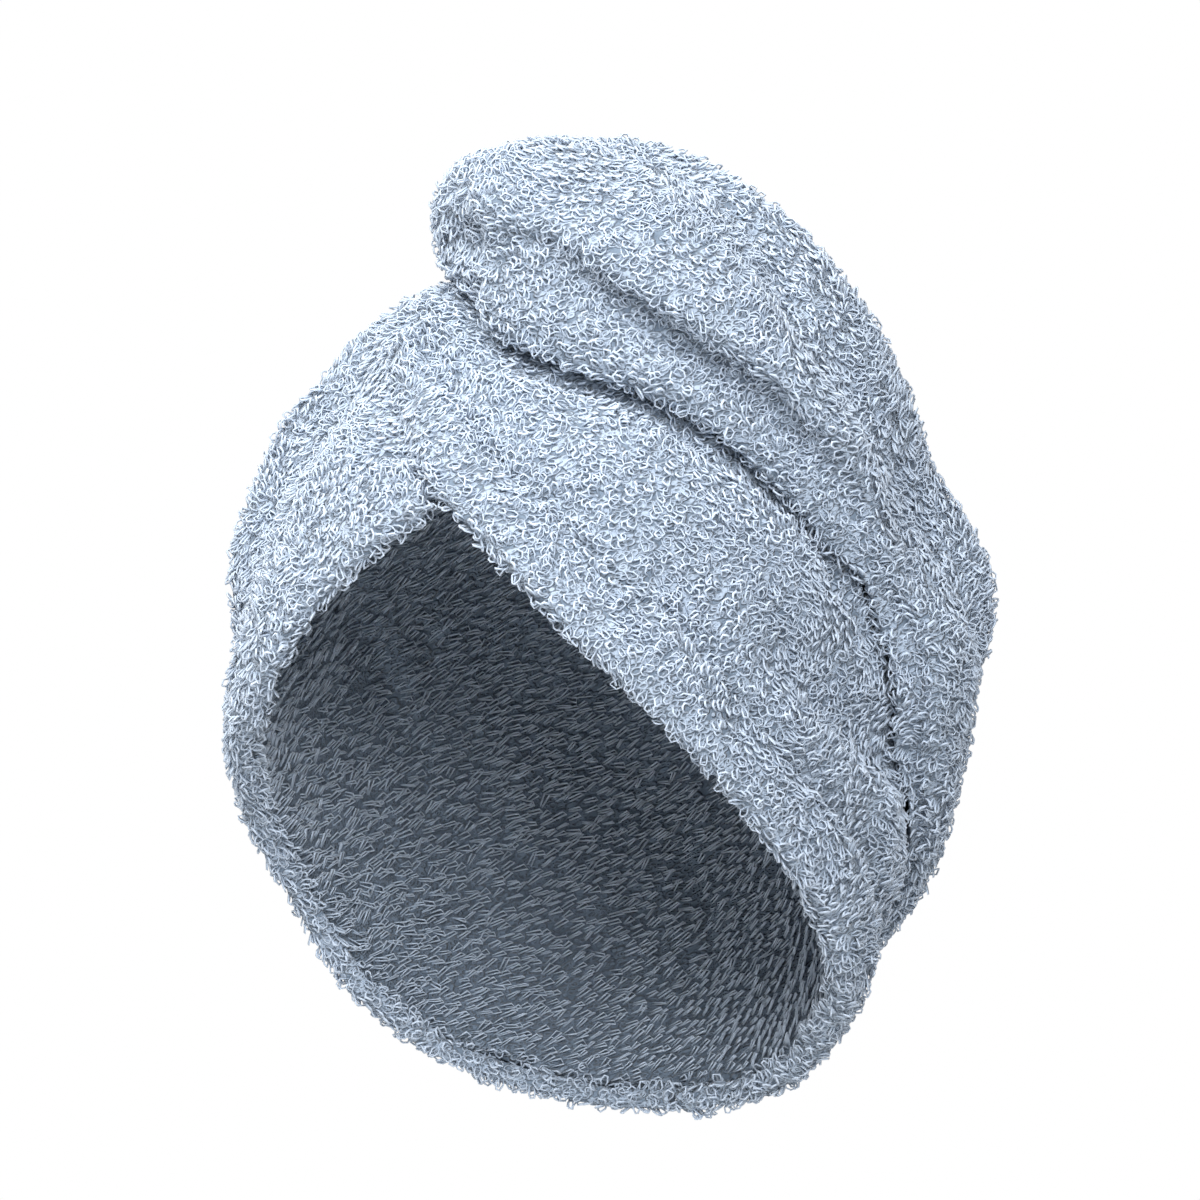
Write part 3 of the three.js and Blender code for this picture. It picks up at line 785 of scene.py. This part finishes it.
class TURBAN_OT_pile(bpy.types.Operator):
    """Sets the loops of the terry on every face that shows"""

    bl_idname = "turban.pile"
    bl_label = "Pile of loops"

    def execute(self, context):
        cloth = context.scene.terry_cloth
        yarn = loop_material(cloth)
        grounds = {
            name: bpy.data.objects[name]
            for name in ("hood_cloth", "left_hem_cloth", "right_hem_cloth", "tail_cloth")
        }
        blockers = joined_surface(grounds.values())

        def outer(middles, facing):
            return ((middles - HEAD_CENTRE) * facing).sum(axis=1) > 0.0

        def inner(middles, facing):
            return ~outer(middles, facing)

        def every(middles, facing):
            return np.ones(len(middles), dtype=bool)

        sides = (
            ("hood_cloth", "hood_loops", outer, cloth.outside_spacing, "terry", 31),
            ("tail_cloth", "tail_loops", every, cloth.outside_spacing, "terry", 32),
            ("left_hem_cloth", "left_hem_loops", every, cloth.outside_spacing, "terry_hem", 33),
            ("right_hem_cloth", "right_hem_loops", every, cloth.outside_spacing, "terry_hem", 34),
            ("hood_cloth", "inside_loops", inner, cloth.inside_spacing, "terry", 35),
        )
        on_hood = []
        for ground, name, keep, spacing, slot, seed in sides:
            draw = np.random.default_rng(seed)
            spots, outward = exposed_spots(grounds[ground], blockers, spacing, keep, seed)
            inside = name == "inside_loops"
            lays = inside_lays(spots, draw) if inside else outside_lays(spots, draw)
            steepest = STEEPEST_INSIDE if inside else STEEPEST_OUTSIDE
            tilts = draw.uniform(FLATTEST, steepest, len(spots))
            shape = LONG_LOOP if inside else ROUND_LOOP
            pieces = add_loops(
                name, shape, spots, outward, lays, tilts, cloth, yarn, seed)
            print(name, len(spots), "loops in", len(pieces), "pieces")
            if ground == "hood_cloth":
                on_hood += pieces
        return {"FINISHED"}


def joined_surface(pieces):
    """One tree of faces of several pieces, for finding what lies close to what."""
    points = []
    faces = []
    for piece in pieces:
        start = len(points)
        points += [tuple(place) for place in places_of(piece.data)]
        faces += [tuple(start + index for index in face.vertices) for face in piece.data.polygons]
    return BVHTree.FromPolygons(points, faces)


def camera_axes(view):
    """The picture's right and up, and the way from the head to the camera."""
    turn, rise, roll = view.azimuth, view.elevation, view.roll
    back = np.array([
        math.sin(turn) * math.cos(rise),
        -math.cos(turn) * math.cos(rise),
        math.sin(rise),
    ])
    level = np.array([math.cos(turn), math.sin(turn), 0.0])
    upright = np.cross(back, level)
    right = level * math.cos(roll) + upright * math.sin(roll)
    up = upright * math.cos(roll) - level * math.sin(roll)
    return right, up, back


def add_area_light(name, place, size, power, colour):
    """A square lamp that shines on the head's centre."""
    bpy.ops.object.select_all(action="DESELECT")
    light = bpy.data.lights.new(name, "AREA")
    light.size = size
    light.energy = power
    light.color = colour
    lamp = bpy.data.objects.new(name, light)
    lamp.location = place
    lamp.rotation_euler = Vector(place - HEAD_CENTRE).to_track_quat("Z", "Y").to_euler()
    bpy.context.collection.objects.link(lamp)
    return lamp


class TURBAN_OT_stage(bpy.types.Operator):
    """Sets the floor, the lights and the camera"""

    bl_idname = "turban.stage"
    bl_label = "Stage"

    def execute(self, context):
        scene = context.scene
        view = scene.studio_view
        right, up, back = camera_axes(view)
        shift = (
            right * (PICTURE_PIXELS / 2 - HEAD_PIXEL[0]) / PIXELS_PER_METRE
            + up * (HEAD_PIXEL[1] - PICTURE_PIXELS / 2) / PIXELS_PER_METRE
        )
        camera_data = bpy.data.cameras.new("camera")
        camera_data.sensor_width = SENSOR_WIDTH
        camera_data.lens = SENSOR_WIDTH * view.distance * PIXELS_PER_METRE / PICTURE_PIXELS
        camera = bpy.data.objects.new("camera", camera_data)
        place = Matrix.Translation(HEAD_CENTRE + shift + back * view.distance)
        turned = Matrix([right, up, back]).transposed().to_4x4()
        camera.matrix_world = place @ turned
        context.collection.objects.link(camera)
        scene.camera = camera

        bpy.ops.object.select_all(action="DESELECT")
        bpy.ops.mesh.primitive_plane_add(size=FLOOR_SIZE, location=(0.0, 0.0, FLOOR_HEIGHT))
        floor = context.active_object
        floor.name = "floor"
        material, nodes, links, shader = new_material("floor_paper")
        grain = object_noise(nodes, links, 3.0)
        mix = mixed_colour(nodes, links, grain.outputs["Fac"], (0.86, 0.86, 0.86), (0.9, 0.9, 0.9))
        links.new(mix.outputs["Result"], shader.inputs["Base Color"])
        shader.inputs["Roughness"].default_value = 0.9
        floor.data.materials.append(material)

        powers = {"key": view.key_power, "fill": view.fill_power, "rear": view.rear_power}
        for lamp in LAMPS:
            place = HEAD_CENTRE + np.array(lamp["place"]) @ np.stack([right, up, back])
            power = powers[lamp["name"]]
            add_area_light(lamp["name"], place, lamp["size"], power, lamp["colour"])

        world = bpy.data.worlds.new("studio")
        scene.world = world
        world.use_nodes = True
        nodes, links = world.node_tree.nodes, world.node_tree.links
        room = nodes["Background"]
        room.inputs["Color"].default_value = (0.91, 0.95, 1.0, 1.0)
        room.inputs["Strength"].default_value = view.room_light
        seen = nodes.new("ShaderNodeBackground")
        seen.inputs["Color"].default_value = (1.0, 1.0, 1.0, 1.0)
        seen.inputs["Strength"].default_value = 1.0
        path = nodes.new("ShaderNodeLightPath")
        mix = nodes.new("ShaderNodeMixShader")
        links.new(path.outputs["Is Camera Ray"], mix.inputs["Fac"])
        links.new(room.outputs["Background"], mix.inputs[1])
        links.new(seen.outputs["Background"], mix.inputs[2])
        links.new(mix.outputs["Shader"], nodes["World Output"].inputs["Surface"])
        scene.view_settings.view_transform = "Standard"
        return {"FINISHED"}


class TURBAN_PT_panel(bpy.types.Panel):
    """Lists the towel's settings and the steps that make it"""

    bl_idname = "TURBAN_PT_panel"
    bl_label = "Hair turban"
    bl_space_type = "VIEW_3D"
    bl_region_type = "UI"
    bl_category = "Hair turban"

    def draw(self, context):
        column = self.layout.column()
        for group in (context.scene.terry_cloth, context.scene.studio_view):
            for name in group.__annotations__:
                column.prop(group, name)
        for step in STEPS:
            column.operator(step.bl_idname)


STEPS = (
    TURBAN_OT_stage,
    TURBAN_OT_hood,
    TURBAN_OT_hems,
    TURBAN_OT_tail,
    TURBAN_OT_closure,
    TURBAN_OT_stitch,
    TURBAN_OT_pile,
)
CLASSES = (TerryCloth, StudioView, *STEPS, TURBAN_PT_panel)


def register():
    for kind in CLASSES:
        bpy.utils.register_class(kind)
    bpy.types.Scene.terry_cloth = PointerProperty(type=TerryCloth)
    bpy.types.Scene.studio_view = PointerProperty(type=StudioView)


def unregister():
    del bpy.types.Scene.studio_view
    del bpy.types.Scene.terry_cloth
    for kind in reversed(CLASSES):
        bpy.utils.unregister_class(kind)


def main():
    register()
    bpy.ops.turban.stage()
    bpy.ops.turban.hood()
    bpy.ops.turban.hems()
    bpy.ops.turban.tail()
    bpy.ops.turban.closure()
    bpy.ops.turban.stitch()
    bpy.ops.turban.pile()


if __name__ == "__main__":
    main()
